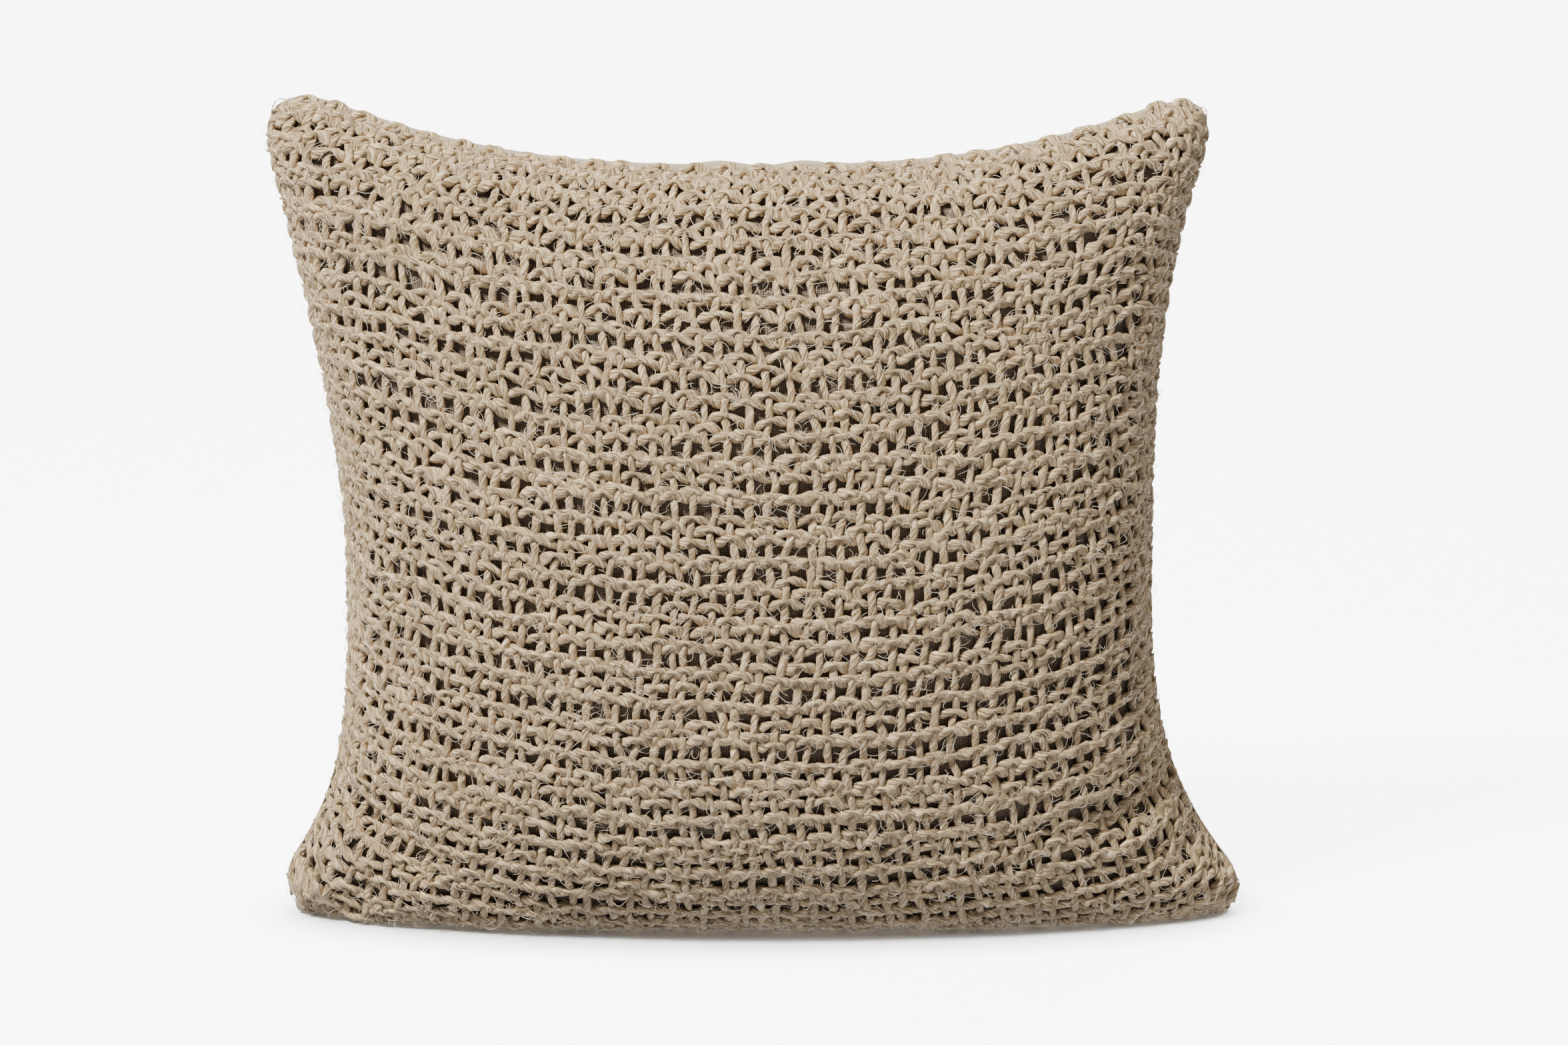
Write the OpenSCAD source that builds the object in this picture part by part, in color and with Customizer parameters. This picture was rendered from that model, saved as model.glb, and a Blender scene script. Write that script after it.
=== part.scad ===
// Ring bearer pillow: a small square cushion that stands on its bottom edge.
// An open-weave front panel lies over a fine lining, the plain back is split by a
// short zip near the bottom, and a separate filled insert sits inside.
// Millimetres, +Z up, front towards -Y, origin under the middle of the pillow.

/* [Outline] */
// Where the middle of the waist stands, so that the corners reach equally far
middle_x = -3; // [-6:0.5:6]
// Half of the pillow's width at its waist
waist_half_w = 84.6; // [70:0.1:95]
// Height of the waist, as a share of the half height, from the middle
waist_v = 0.04; // [-0.3:0.01:0.3]
// How far the left top corner reaches past the waist before it is rounded
left_top_reach = 21; // [5:0.5:24]
// How sharply the left side turns out to its top corner
left_top_turn = 1.5; // [1.2:0.1:4]
// How far the right top corner reaches past the waist before it is rounded
right_top_reach = 18; // [5:0.5:24]
// How sharply the right side turns out to its top corner
right_top_turn = 2.8; // [1.2:0.1:4]
// How far the left bottom corner reaches past the waist before it is rounded
left_bottom_reach = 22; // [5:0.5:30]
// How sharply the left side turns out to its bottom corner
left_bottom_turn = 4; // [1.2:0.1:6]
// How far the right bottom corner reaches past the waist before it is rounded
right_bottom_reach = 29; // [5:0.5:34]
// How sharply the right side turns out to its bottom corner
right_bottom_turn = 3.2; // [1.2:0.1:6]
// Height of the middle of the pillow
mid_z = 78; // [70:0.5:90]
// From the middle up to the top seam, at the centre
top_half_h = 83.5; // [70:0.5:95]
// How far the left top corner rises above the top seam before it is rounded
left_top_rise = 22.5; // [5:0.5:28]
// How far the right top corner rises above the top seam before it is rounded
right_top_rise = 20.5; // [5:0.5:28]
// From the middle down to the bottom seam before the floor flattens it
bottom_half_h = 84; // [80:0.5:95]
// How far the bottom corners stay above the flattened seam
bottom_corner_lift = 6; // [0:0.5:12]
// Share of the reach that the rounding of a corner takes off
corner_round = 0.07; // [0:0.005:0.09]

/* [Thickness] */
// Swell of the front from the seam
front_swell = 40.5; // [30:0.5:48]
// Swell of the back from the seam
back_swell = 39.5; // [30:0.5:48]
// How much fuller the bottom is than the top
belly_drop = 0.1; // [0:0.01:0.2]
// How full the pillow stays towards its seam, lower is fuller
fullness = 0.85; // [0.7:0.05:1]
// Thickness of the open weave, two crossing yarns
weave_t = 2.5; // [1.5:0.1:3]
// Thickness of the lining cloth
lining_t = 0.4; // [0.3:0.05:0.5]
// Thickness of the back cloth with its turned-in edge
back_t = 0.9; // [0.5:0.05:1]
// Thickness of the insert's cover
insert_t = 0.45; // [0.3:0.05:0.6]
// Space between two layers of cloth
layer_gap = 0.25; // [0.2:0.05:0.3]
// Space between the front and the back half along the seam
seam_gap = 0.6; // [0.5:0.1:1]

/* [Zip] */
// Height of the zip on the back
zip_z = 36; // [32:0.5:44]
// Radius of the curve that the zip follows round the back
zip_r = 175; // [165:1:190]
// Half of the length of the zip's teeth, straight across
zip_half_l = 56; // [45:1:58]
// Lean of the zip's face from upright
zip_tilt = 14; // [8:0.5:20]
// Half of the gap between the two edges of the back
zip_slot = 3.7; // [3.6:0.1:4.5]
// Width of one tape
tape_w = 8; // [7:0.5:8.5]
// Spacing of the teeth on one tape
tooth_pitch = 1.27; // [1.1:0.01:2]
// Half of the width of the slider
slider_half_w = 3.2; // [3:0.1:3.4]
// Length of the pull tab from its pin
tab_l = 14; // [10:0.5:18]

/* [Stitching] */
// Stitches along each side of the cover's seam
seam_stitches = 44; // [20:1:60]
// Stitches along each side of the insert's seam
insert_stitches = 36; // [20:1:60]
// Stitches in each row beside the zip
zip_stitches = 38; // [20:1:60]
// Radius of the sewing thread
thread_r = 0.17; // [0.1:0.01:0.2]

/* [Hidden] */

// Facets of a cloth surface across and up
cells = 26;
// Facets of one part of the back, up
back_cells = 17;
// The floor flattens this much of the surface gradually
foot_blend = 1.5;
// How sharply a corner's rounding and the top seam's rise set in
round_power = 4.5;
rise_power = 2.7;

// Depth of each layer under the outer surface
lining_d = weave_t + layer_gap;
insert_d = lining_d + lining_t + layer_gap;
filling_d = insert_d + insert_t + layer_gap;
seam_d = 1.2;

function mix(a, b, w) = a + (b - a) * w;
function smooth(e0, e1, x) = let (q = min(1, max(0, (x - e0) / (e1 - e0)))) q * q * (3 - 2 * q);

// The outline at u across and v up, both from -1 to 1, d inside the outer surface
function reach(v, top, top_turn, bottom, bottom_turn) =
    v > waist_v ? top * pow((v - waist_v) / (1 - waist_v), top_turn)
                : bottom * pow((waist_v - v) / (1 + waist_v), bottom_turn);
function half_width(u, v) = waist_half_w
    + (u < 0 ? reach(v, left_top_reach, left_top_turn, left_bottom_reach, left_bottom_turn)
             : reach(v, right_top_reach, right_top_turn, right_bottom_reach, right_bottom_turn));
function half_height(u, v) =
    v > 0 ? top_half_h + (u < 0 ? left_top_rise : right_top_rise) * pow(abs(u), rise_power)
          : bottom_half_h - bottom_corner_lift * pow(abs(u), rise_power);
function corner_pull(u, v) = 1 - corner_round * pow(u * u * v * v, round_power);

// A height that the floor holds up, d above it
function settled(z, d) =
    let (h = z - d)
    h < -foot_blend ? d : h > foot_blend ? z : d + pow(h + foot_blend, 2) / (4 * foot_blend);

// Widths are measured from the middle of the waist, and middle_x is added at the end
function cloth_x(u, v, d) = u * (half_width(u, v) - d) * corner_pull(u, v);
function cloth_z(u, v, d) = settled(mid_z + v * (half_height(u, v) - d) * corner_pull(u, v), d);
function swell(a, b, most, d) =
    (most - d) * pow(max(0, cos(a) * cos(b)), fullness) * (1 - belly_drop * sin(b));

// The zip lies on a cone round an upright axis, so its parts are true arcs
zip_b = asin((zip_z - mid_z) / bottom_half_h);
zip_axis_y = seam_gap / 2 + swell(0, zip_b, back_swell, 0) - zip_r;
zip_half_a = asin(zip_half_l / zip_r);
zip_band = [9.5, 17];
zip_reach = [61, 76];
function zip_y(x, z, d) =
    let (r = zip_r + (z - zip_z) * tan(zip_tilt) - d / cos(zip_tilt)) zip_axis_y + sqrt(r * r - x * x);
function zip_weight(x, z) =
    (1 - smooth(zip_band[0], zip_band[1], abs(z - zip_z)))
    * (1 - smooth(zip_reach[0], zip_reach[1], abs(x)));
function back_y(x, z, a, b, d) =
    let (w = zip_weight(x, z), free = seam_gap / 2 + swell(a, b, back_swell, d))
    w > 0 ? mix(free, zip_y(x, z, d), w) : free;

// One point of each cloth surface, at angles a across and b up
function front_point(a, b, d) =
    let (u = sin(a), v = sin(b))
    [middle_x + cloth_x(u, v, d), -seam_gap / 2 - swell(a, b, front_swell, d), cloth_z(u, v, d)];
function back_point(a, b, d) =
    let (u = sin(a), v = sin(b), x = cloth_x(u, v, d), z = cloth_z(u, v, d))
    [middle_x + x, back_y(x, z, a, b, d), z];

function grid(rows) = [for (j = [0:rows]) for (i = [0:cells]) [-90 + 180 * i / cells, j / rows]];
function front_sheet(d) = [for (g = grid(cells)) front_point(g[0], -90 + 180 * g[1], d)];
function back_sheet(d) = [for (g = grid(cells)) back_point(g[0], -90 + 180 * g[1], d)];

// Half of the gap between the two parts of the back: the zip's slot, closed past its ends
function slot(x) = mix(zip_slot * cos(zip_tilt), layer_gap / 2,
                       smooth(zip_half_l + 4, zip_half_l + 8, abs(x)));
function edge_angle(a, d, edge) =
    let (u = sin(a), x = u * waist_half_w)
    asin((zip_z + edge * slot(x) - mid_z) / (half_height(u, -1) - d));
// Rows bunch up towards the zip's edge
function lower_sheet(d) = [for (g = grid(back_cells))
    back_point(g[0], mix(-90, edge_angle(g[0], d, -1), 1 - pow(1 - g[1], 1.6)), d)];
function upper_sheet(d) = [for (g = grid(back_cells))
    back_point(g[0], mix(edge_angle(g[0], d, 1), 90, pow(g[1], 1.6)), d)];

// Closed solid between two sheets of points whose borders run in the same order
module between(near, far, rows) {
    n = cells + 1;
    step = len(near);
    function cell(k, turn) = let (q = turn ? [k, k + 1, k + n + 1, k + n] : [k, k + n, k + n + 1, k + 1])
        [[q[0], q[1], q[2]], [q[0], q[2], q[3]]];
    function wall(p, q) = [[p, q + step, p + step], [p, q, q + step]];
    sheets = [for (j = [0:rows - 1]) for (i = [0:cells - 1])
        for (f = concat(cell(j * n + i, false), cell(j * n + i + step, true))) f];
    floor_and_top = [for (i = [0:cells - 1])
        for (f = concat(wall(i, i + 1), wall(rows * n + i + 1, rows * n + i))) f];
    // From the top down, and the walls first, so that a thin shell closes the right way out
    sides = [for (j = [rows - 1:-1:0])
        for (f = concat(wall(j * n + cells, (j + 1) * n + cells), wall((j + 1) * n, j * n))) f];
    polyhedron(points = concat(near, far), faces = concat(sides, floor_and_top, sheets));
}

// A short straight stitch of round thread from p to q
module stitch(p, q) {
    way = q - p;
    translate(p) rotate([0, acos(way[2] / norm(way)), atan2(way[1], way[0])])
        cylinder(h = norm(way), r = thread_r, $fn = 24);
}

// Stitches along the seam plane, count on each side, on the outline d inside the edge
module outline_stitches(count, d) {
    function at(u, v) = [middle_x + cloth_x(u, v, d), 0, cloth_z(u, v, d)];
    corner_a = 85;
    for (k = [0:count - 1]) {
        // Even steps in angle, a little short of the corners
        p = sin(mix(-corner_a, corner_a, (k + 0.12) / count));
        q = sin(mix(-corner_a, corner_a, (k + 0.88) / count));
        stitch(at(p, 1), at(q, 1));
        stitch(at(p, -1), at(q, -1));
        stitch(at(-1, p), at(-1, q));
        stitch(at(1, p), at(1, q));
    }
}

// Moves a piece drawn at the origin to the zip, turned by an angle round its axis.
// There +X runs along the zip, +Y points out of the back and +Z up the tape.
module on_zip(angle) {
    translate([middle_x, zip_axis_y, 0]) rotate([0, 0, angle]) translate([0, zip_r, zip_z])
        rotate([-zip_tilt, 0, 0]) children();
}

// A strip along the zip, from its own cross-section: X out of the back, Y up the tape
module zip_strip(half_angle) {
    translate([middle_x, zip_axis_y, 0]) rotate([0, 0, 90 - half_angle])
        rotate_extrude(angle = 2 * half_angle, $fn = 360)
            translate([zip_r, zip_z]) rotate(-zip_tilt) children();
}

// Plates that lie in the zip's face: an outline in X and Z, from y0 to y1
module plate(y0, y1) { translate([0, y0, 0]) rotate([-90, 0, 0]) linear_extrude(y1 - y0) children(); }

tape_y = [-1.75, -1.35];
tape_in = 0.55;
tooth_y = [-1.3, -0.2];
tooth_z = [0.38, 2.2];
tooth_w = 0.5;
stop_l = 1.8;

module tape(side) {
    zip_strip(zip_half_a + 1.4) mirror([0, side > 0 ? 0 : 1])
        translate([tape_y[0], tape_in]) square([tape_y[1] - tape_y[0], tape_w]);
}

module tooth_profile() {
    r = tooth_w / 2;
    translate([-r, tooth_y[0] + r]) square([tooth_w, tooth_y[1] - tooth_y[0] - tooth_w]);
    for (y = [tooth_y[0] + r, tooth_y[1] - r]) translate([0, y]) circle(r, $fn = 24);
}

module teeth(side) {
    pitch_a = tooth_pitch / zip_r * 180 / PI;
    count = floor(2 * zip_half_a / pitch_a) - 1;
    for (k = [0:count - 1])
        on_zip(-zip_half_a + (k + (side > 0 ? 0.75 : 1.25)) * pitch_a)
            mirror([0, 0, side > 0 ? 0 : 1]) translate([0, 0, tooth_z[0]])
                linear_extrude(tooth_z[1] - tooth_z[0]) tooth_profile();
}

module zip_stitch_row(side) {
    z = side * (zip_slot + 1.6);
    step = 2 * (zip_half_a + 1) / zip_stitches;
    for (k = [0:zip_stitches - 1]) on_zip(-zip_half_a - 1 + (k + 0.5) * step)
        stitch([-0.32 * step * PI / 180 * zip_r, thread_r + 0.15, z],
               [0.32 * step * PI / 180 * zip_r, thread_r + 0.15, z]);
}

// The slider closes towards +X, where it rests; its nose points that way
slider_a = -(zip_half_a - 3.2);
slider_back = -4.4;
slider_nose = 2;
outer_plate_y = [0.25, 1.05];
inner_plate_y = [-2.65, -2.05];
pin_y = 2.05;
pin_r = 0.35;
pin_clearance = 0.06;
eye_r = 0.74;
eye_half_w = 0.8;
lug_z = [0.95, 1.5];

module slider_outline() {
    translate([slider_back, -slider_half_w]) square([slider_nose - slider_back, 2 * slider_half_w]);
    translate([slider_nose, 0]) circle(slider_half_w, $fn = 64);
}

module woven_front_panel() {
    color([0.74, 0.66, 0.56]) between(front_sheet(0), front_sheet(weave_t), cells);
}

module front_lining() {
    color([0.42, 0.33, 0.24])
        between(front_sheet(lining_d), front_sheet(lining_d + lining_t), cells);
}

module back_panel_upper() {
    color([0.68, 0.6, 0.49]) between(upper_sheet(back_t), upper_sheet(0), back_cells);
}

module back_panel_lower() {
    color([0.68, 0.6, 0.49]) between(lower_sheet(back_t), lower_sheet(0), back_cells);
}

module cover_seam_stitching() {
    color([0.8, 0.74, 0.64]) outline_stitches(seam_stitches, seam_d);
}

module zip_tape_upper() { color([0.62, 0.55, 0.45]) tape(1); }
module zip_tape_lower() { color([0.62, 0.55, 0.45]) tape(-1); }
module zip_teeth_upper() { color([0.7, 0.64, 0.54]) teeth(1); }
module zip_teeth_lower() { color([0.7, 0.64, 0.54]) teeth(-1); }

module zip_top_stops() {
    color([0.62, 0.56, 0.44]) on_zip(-zip_half_a - 0.3) for (side = [-1, 1])
        translate([-stop_l / 2, tooth_y[0], side > 0 ? tooth_z[0] + 0.1 : -tooth_z[1]])
            cube([stop_l, 1.2, tooth_z[1] - tooth_z[0] - 0.1]);
}

module zip_bottom_stop() {
    color([0.62, 0.56, 0.44]) on_zip(zip_half_a + 0.4)
        translate([-stop_l / 2, tooth_y[0], -tooth_z[1]]) cube([stop_l, 1.3, 2 * tooth_z[1]]);
}

module zip_slider() {
    color([0.6, 0.5, 0.36]) on_zip(slider_a) {
        plate(outer_plate_y[0], outer_plate_y[1]) slider_outline();
        plate(inner_plate_y[0], inner_plate_y[1]) slider_outline();
        // Side flanges that keep the teeth in the channel
        for (side = [-1, 1])
            translate([slider_back, -1, side > 0 ? slider_half_w - 0.55 : -slider_half_w])
                cube([slider_nose - slider_back, outer_plate_y[0] + 1.1, 0.55]);
        // Bridge between the two plates, in the gap between the rows of teeth
        translate([slider_nose, inner_plate_y[0] + 0.1, -0.2])
            cube([2.4, outer_plate_y[1] - inner_plate_y[0] - 0.2, 0.4]);
        // Lugs and the pin for the pull tab
        for (side = [-1, 1]) translate([0, 0, side > 0 ? lug_z[0] : -lug_z[1]]) {
            translate([-0.65, outer_plate_y[0] + 0.1, 0])
                cube([1.3, pin_y - outer_plate_y[0] - 0.1, lug_z[1] - lug_z[0]]);
            translate([0, pin_y, 0]) cylinder(h = lug_z[1] - lug_z[0], r = 0.65, $fn = 48);
        }
        translate([0, pin_y, -lug_z[1] + 0.1]) cylinder(h = 2 * lug_z[1] - 0.2, r = pin_r, $fn = 48);
    }
}

module zip_pull_tab() {
    tab_y = [pin_y - 0.35, pin_y + 0.35];
    tab_half_w = 2.3;
    neck_l = 2.2;
    color([0.6, 0.5, 0.36]) on_zip(slider_a) difference() {
        union() {
            translate([0, pin_y, -eye_half_w]) cylinder(h = 2 * eye_half_w, r = eye_r, $fn = 48);
            plate(tab_y[0], tab_y[1]) {
                translate([-neck_l, -eye_half_w]) square([neck_l, 2 * eye_half_w]);
                translate([-tab_l + tab_half_w, -tab_half_w])
                    square([tab_l - tab_half_w - neck_l + 0.2, 2 * tab_half_w]);
                translate([-tab_l + tab_half_w, 0]) circle(tab_half_w, $fn = 64);
            }
        }
        translate([0, pin_y, -eye_half_w - 1])
            cylinder(h = 2 * eye_half_w + 2, r = pin_r + pin_clearance, $fn = 48);
        plate(tab_y[0] - 1, tab_y[1] + 1) translate([-tab_l + tab_half_w, 0]) circle(1.1, $fn = 48);
    }
}

module zip_stitching_upper() { color([0.8, 0.74, 0.64]) zip_stitch_row(1); }
module zip_stitching_lower() { color([0.8, 0.74, 0.64]) zip_stitch_row(-1); }

module insert_front_cover() {
    color([0.93, 0.91, 0.86]) between(front_sheet(insert_d), front_sheet(insert_d + insert_t), cells);
}

module insert_back_cover() {
    color([0.93, 0.91, 0.86]) between(back_sheet(insert_d + insert_t), back_sheet(insert_d), cells);
}

module insert_seam_stitching() {
    color([0.95, 0.94, 0.9]) outline_stitches(insert_stitches, insert_d - layer_gap);
}

module fibre_filling() {
    color([0.97, 0.97, 0.96]) between(front_sheet(filling_d), back_sheet(filling_d), cells);
}

woven_front_panel();
front_lining();
back_panel_upper();
back_panel_lower();
cover_seam_stitching();
zip_tape_upper();
zip_tape_lower();
zip_teeth_upper();
zip_teeth_lower();
zip_top_stops();
zip_bottom_stop();
zip_slider();
zip_pull_tab();
zip_stitching_upper();
zip_stitching_lower();
insert_front_cover();
insert_back_cover();
insert_seam_stitching();
fibre_filling();
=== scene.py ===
# %% [markdown]
# # A ring bearer pillow in open-weave linen
# The pillow is a small square cushion that stands on its bottom edge. Thick linen yarns are woven
# loosely over a fine dark lining, so the front is a net with small windows. The back is plain linen
# with a short zip near the bottom, and a filled insert sits inside.
#
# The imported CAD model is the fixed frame: it holds the sizes, the zip and its joints. This lesson
# makes the cloth around it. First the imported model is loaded, and its box is kept for later.

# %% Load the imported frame
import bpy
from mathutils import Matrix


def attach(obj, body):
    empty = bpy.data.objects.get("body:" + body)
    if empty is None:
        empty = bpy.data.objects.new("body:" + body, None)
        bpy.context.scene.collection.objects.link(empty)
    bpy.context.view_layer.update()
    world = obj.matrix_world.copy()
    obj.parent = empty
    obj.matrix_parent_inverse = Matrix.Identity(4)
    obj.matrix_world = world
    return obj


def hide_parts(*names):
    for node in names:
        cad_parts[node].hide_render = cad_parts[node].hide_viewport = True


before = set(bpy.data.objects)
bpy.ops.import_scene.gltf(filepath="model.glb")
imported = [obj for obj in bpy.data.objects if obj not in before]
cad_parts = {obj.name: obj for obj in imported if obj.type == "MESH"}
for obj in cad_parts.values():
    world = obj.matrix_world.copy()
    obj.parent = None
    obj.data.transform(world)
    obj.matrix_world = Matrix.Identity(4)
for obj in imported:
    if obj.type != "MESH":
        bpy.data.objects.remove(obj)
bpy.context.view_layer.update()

import math

import bmesh
import bpy
import numpy as np
from mathutils import Vector

MM = 0.001

# %% [markdown]
# ## Camera, floor and light
# The pillow is seen straight from the front and from a little above, through a long lens, so that
# its sides stay nearly parallel. The lens follows from the width that has to fit the view. The
# camera comes first because everything else is judged through it.

# %% Camera
view_width = 0.3293
camera_distance = 1.2
camera_lift = math.radians(14)
aim = Vector((0.0044, 0, 0.0855))
camera_data = bpy.data.cameras.new("view")
camera_data.sensor_width = 36
camera_data.lens = camera_data.sensor_width * camera_distance / view_width
camera = bpy.data.objects.new("view", camera_data)
camera.location = aim + camera_distance * Vector((0, -math.cos(camera_lift), math.sin(camera_lift)))
camera.rotation_euler = (math.pi / 2 - camera_lift, 0, 0)
bpy.context.scene.collection.objects.link(camera)
bpy.context.scene.camera = camera
print("lens %.0f mm" % camera_data.lens)

# %% [markdown]
# A pale floor that reaches past the view keeps the background plain. It glows a little to stay
# white, and diffuse rays pass it by, so that its glow doesn't light the cloth flat from below. Close
# to the pillow the glow fades, which leaves a thin contact shadow. The key light comes from the upper
# left in front and is small enough to model each yarn. A weak one fills the right side, one from
# behind lights the back, and the world lights a little all round.

# %% Floor, lights and world
def pale(name, value, roughness):
    material = bpy.data.materials.new(name)
    material.use_nodes = True
    shader = material.node_tree.nodes["Principled BSDF"]
    shader.inputs["Base Color"].default_value = (value, value, value, 1)
    shader.inputs["Roughness"].default_value = roughness
    return material


def soft_light(name, place, target, size, watts):
    data = bpy.data.lights.new(name, "AREA")
    data.shape = "DISK"
    data.size = size
    data.energy = watts
    light = bpy.data.objects.new(name, data)
    light.location = place
    light.rotation_euler = (Vector(target) - Vector(place)).to_track_quat("-Z", "Y").to_euler()
    bpy.context.scene.collection.objects.link(light)
    return light


floor_mesh = bpy.data.meshes.new("floor")
work = bmesh.new()
bmesh.ops.create_circle(work, cap_ends=True, segments=64, radius=6)
work.to_mesh(floor_mesh)
work.free()
floor = bpy.data.objects.new("floor", floor_mesh)
floor_finish = pale("pale_floor", 0.93, 0.7)
floor_tree = floor_finish.node_tree
floor_shader = floor_tree.nodes["Principled BSDF"]
floor_shader.inputs["Emission Color"].default_value = (1, 1, 1, 1)
nearness = floor_tree.nodes.new("ShaderNodeAmbientOcclusion")
nearness.inputs["Distance"].default_value = 0.014
glow = floor_tree.nodes.new("ShaderNodeMapRange")
glow.inputs["From Min"].default_value = 0.25
glow.inputs["To Max"].default_value = 6.5
floor_tree.links.new(nearness.outputs["AO"], glow.inputs["Value"])
floor_tree.links.new(glow.outputs["Result"], floor_shader.inputs["Emission Strength"])
floor_mesh.materials.append(floor_finish)
bpy.context.scene.collection.objects.link(floor)
floor.visible_diffuse = False

soft_light("key", (-0.62, -0.66, 1.20), (0, 0, 0.09), 0.26, 50)
soft_light("fill", (1.2, -1.3, 0.7), (0, 0, 0.09), 1.0, 3)
soft_light("rear", (0.4, 1.6, 1.4), (0, 0, 0.09), 0.8, 26)
world = bpy.data.worlds.new("pale_room")
world.use_nodes = True
world.node_tree.nodes["Background"].inputs["Color"].default_value = (1, 1, 1, 1)
world.node_tree.nodes["Background"].inputs["Strength"].default_value = 0.32
bpy.context.scene.world = world

# %% [markdown]
# ## The stuffed form
# A pillow cover is sewn from two flat squares. When it is stuffed the middle swells, the sides pull
# in and the corners stay out as ears. The form is worked out on a square grid of angles, so that
# rows bunch up towards the seam where the cloth turns fastest. The numbers are those of the packed
# model, in millimetres. The corners are bent a little rounder here, because stuffed ears are fat.

# %% The outline
middle_x, mid_z = -3, 78
waist_half_w, waist_v = 84.6, 0.04
top_half_h, bottom_half_h, corner_lift = 83.5, 84, 6
foot_blend, rise_power, round_power = 1.5, 2.7, 4.5
seam_gap = 0.6


def side_reach(v, top, top_turn, bottom, bottom_turn):
    above = np.clip((v - waist_v) / (1 - waist_v), 0, 1)
    below = np.clip((waist_v - v) / (1 + waist_v), 0, 1)
    return top * above ** top_turn + bottom * below ** bottom_turn


def settle(z):
    """The floor holds up what would hang lower, and blends it in gradually"""
    held = (z + foot_blend) ** 2 / (4 * foot_blend)
    return np.where(z < -foot_blend, 0, np.where(z > foot_blend, z, held))


def rounded(u, v, ear):
    """Bends the square's corner into a round ear whose radius is the share ear of the half width"""
    du, dv = [np.clip((abs(w) - 1) / ear + 1, 0, 1) for w in (u, v)]
    bent_u, bent_v = du * np.sqrt(1 - dv * dv / 2), dv * np.sqrt(1 - du * du / 2)
    return (np.where(du > 0, np.sign(u) * (1 - ear + ear * bent_u), u),
            np.where(dv > 0, np.sign(v) * (1 - ear + ear * bent_v), v))


def outline(u, v):
    u, v = rounded(u, v, np.where(v > 0, 0.20, 0.16))
    left = side_reach(v, 21, 1.5, 26, 4)
    right = side_reach(v, 18, 2.8, 29, 3.2)
    half_w = waist_half_w + np.where(u < 0, left, right)
    rise = np.where(u < 0, 24.5, 22.5) * abs(u) ** rise_power
    half_h = np.where(v > 0, top_half_h + rise, bottom_half_h - corner_lift * abs(u) ** rise_power)
    corner_pull = np.where(v > 0, np.where(u < 0, 0.04, 0.02), np.where(u < 0, 0.07, 0.01))
    pull = 1 - corner_pull * (u * u * v * v) ** round_power
    return middle_x + u * half_w * pull, settle(mid_z + v * half_h * pull)


# %% [markdown]
# The front and the back swell out of that outline. Where the zip lies, the back follows the zip's
# own cone, so that the zip's true arcs stay flush with the cloth.

# %% Front and back surface
front_swell, back_swell, belly_drop, fullness = 40.5, 39.5, 0.1, 0.85
zip_z, zip_r, zip_half_l, zip_slot, zip_tilt = 36, 175, 56, 3.7, math.radians(14)
zip_band, zip_reach = (9.5, 17), (61, 76)
grid_cells = 96
angles = np.radians(np.linspace(-90, 90, grid_cells + 1))
across, up = np.meshgrid(angles, angles)


def ease(low, high, x):
    share = np.clip((x - low) / (high - low), 0, 1)
    return share * share * (3 - 2 * share)


def swell(a, b, most):
    return most * np.maximum(0, np.cos(a) * np.cos(b)) ** fullness * (1 - belly_drop * np.sin(b))


zip_b = math.asin((zip_z - mid_z) / bottom_half_h)
zip_axis_y = seam_gap / 2 + float(swell(0, zip_b, back_swell)) - zip_r


def zip_cone_y(x, z):
    radius = zip_r + (z - zip_z) * math.tan(zip_tilt)
    return zip_axis_y + np.sqrt(np.maximum(0, radius ** 2 - (x - middle_x) ** 2))


def near_zip(x, z):
    """1 on the zip's band, falling to 0 around it"""
    return (1 - ease(*zip_band, abs(z - zip_z))) * (1 - ease(*zip_reach, abs(x - middle_x)))


def stuffed_form():
    x, z = outline(np.sin(across), np.sin(up))
    front = np.stack([x, -seam_gap / 2 - swell(across, up, front_swell), z], -1)
    plain_y = seam_gap / 2 + swell(across, up, back_swell)
    share = near_zip(x, z)
    back = np.stack([x, plain_y * (1 - share) + zip_cone_y(x, z) * share, z], -1)
    return front * MM, back * MM


front_form, back_form = stuffed_form()
print("form %.0f x %.0f x %.0f mm" % tuple(
    (np.maximum(front_form.max((0, 1)), back_form.max((0, 1)))
     - np.minimum(front_form.min((0, 1)), back_form.min((0, 1)))) / MM))

# %% [markdown]
# ## Letting the stuffing press the cloth out
# Formulas give too smooth a cushion. A short cloth simulation blows the cover up from a slightly
# slimmer shape, with the seam and the zip's band pinned, so that pulls run from the seam into the
# cloth by themselves. Each point may move 5 mm at most, and the result is kept as plain numbers.

# %% Cloth simulation with pressure
def grid_object(name, sheets):
    """One object of several grids, whose points come row by row"""
    mesh = bpy.data.meshes.new(name)
    work = bmesh.new()
    for points in sheets:
        rows, columns = points.shape[:2]
        bmesh.ops.create_grid(work, x_segments=columns - 1, y_segments=rows - 1, size=1)
    work.to_mesh(mesh)
    work.free()
    mesh.vertices.foreach_set("co", np.concatenate([p.reshape(-1, 3) for p in sheets]).ravel())
    mesh.update()
    piece = bpy.data.objects.new(name, mesh)
    bpy.context.scene.collection.objects.link(piece)
    return piece


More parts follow.
